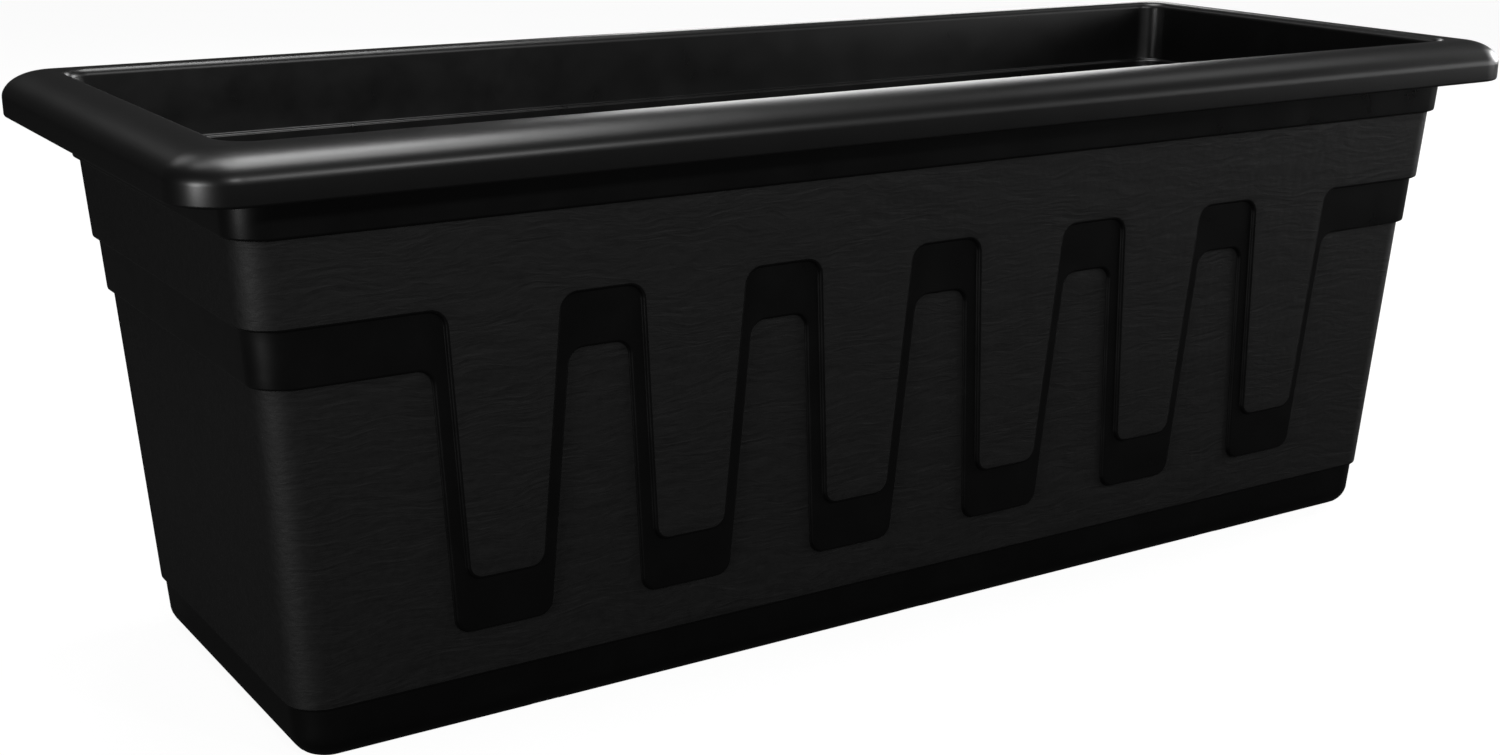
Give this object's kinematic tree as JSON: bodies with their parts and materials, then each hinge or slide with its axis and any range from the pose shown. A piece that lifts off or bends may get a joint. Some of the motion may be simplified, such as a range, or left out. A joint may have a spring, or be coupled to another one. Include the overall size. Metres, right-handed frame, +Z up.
{
  "type": "window box planter",
  "caption": "Long rectangular plastic planting trough with a rolled rim, terraced grained walls, a winding raised band and pull-out drain plugs.",
  "frame": {"origin": "on the standing surface, under the middle of the box", "axes": "+X along the box, +Y from the front to the back, +Z up"},
  "size_m": [0.5, 0.198, 0.185],
  "materials": {
    "trough_plastic": "black injection-moulded polypropylene: polished rim and band, fine grain on the wall panels",
    "plug_rubber": "matt black soft moulding"
  },
  "bodies": {
    "trough": {"trough": "trough_plastic"},
    "drain_plug_front_1": {"drain_plug_front_1": "plug_rubber"},
    "drain_plug_front_2": {"drain_plug_front_2": "plug_rubber"},
    "drain_plug_front_3": {"drain_plug_front_3": "plug_rubber"},
    "drain_plug_back_1": {"drain_plug_back_1": "plug_rubber"},
    "drain_plug_back_2": {"drain_plug_back_2": "plug_rubber"},
    "drain_plug_back_3": {"drain_plug_back_3": "plug_rubber"}
  },
  "joints": [
    {"name": "plug_lift_front_1", "type": "slide", "parent": "trough", "child": "drain_plug_front_1", "axis": [0, 0, 1], "range_m": [0, 0.19]},
    {"name": "plug_lift_front_2", "type": "slide", "parent": "trough", "child": "drain_plug_front_2", "axis": [0, 0, 1], "range_m": [0, 0.19]},
    {"name": "plug_lift_front_3", "type": "slide", "parent": "trough", "child": "drain_plug_front_3", "axis": [0, 0, 1], "range_m": [0, 0.19]},
    {"name": "plug_lift_back_1", "type": "slide", "parent": "trough", "child": "drain_plug_back_1", "axis": [0, 0, 1], "range_m": [0, 0.19]},
    {"name": "plug_lift_back_2", "type": "slide", "parent": "trough", "child": "drain_plug_back_2", "axis": [0, 0, 1], "range_m": [0, 0.19]},
    {"name": "plug_lift_back_3", "type": "slide", "parent": "trough", "child": "drain_plug_back_3", "axis": [0, 0, 1], "range_m": [0, 0.19]}
  ]
}
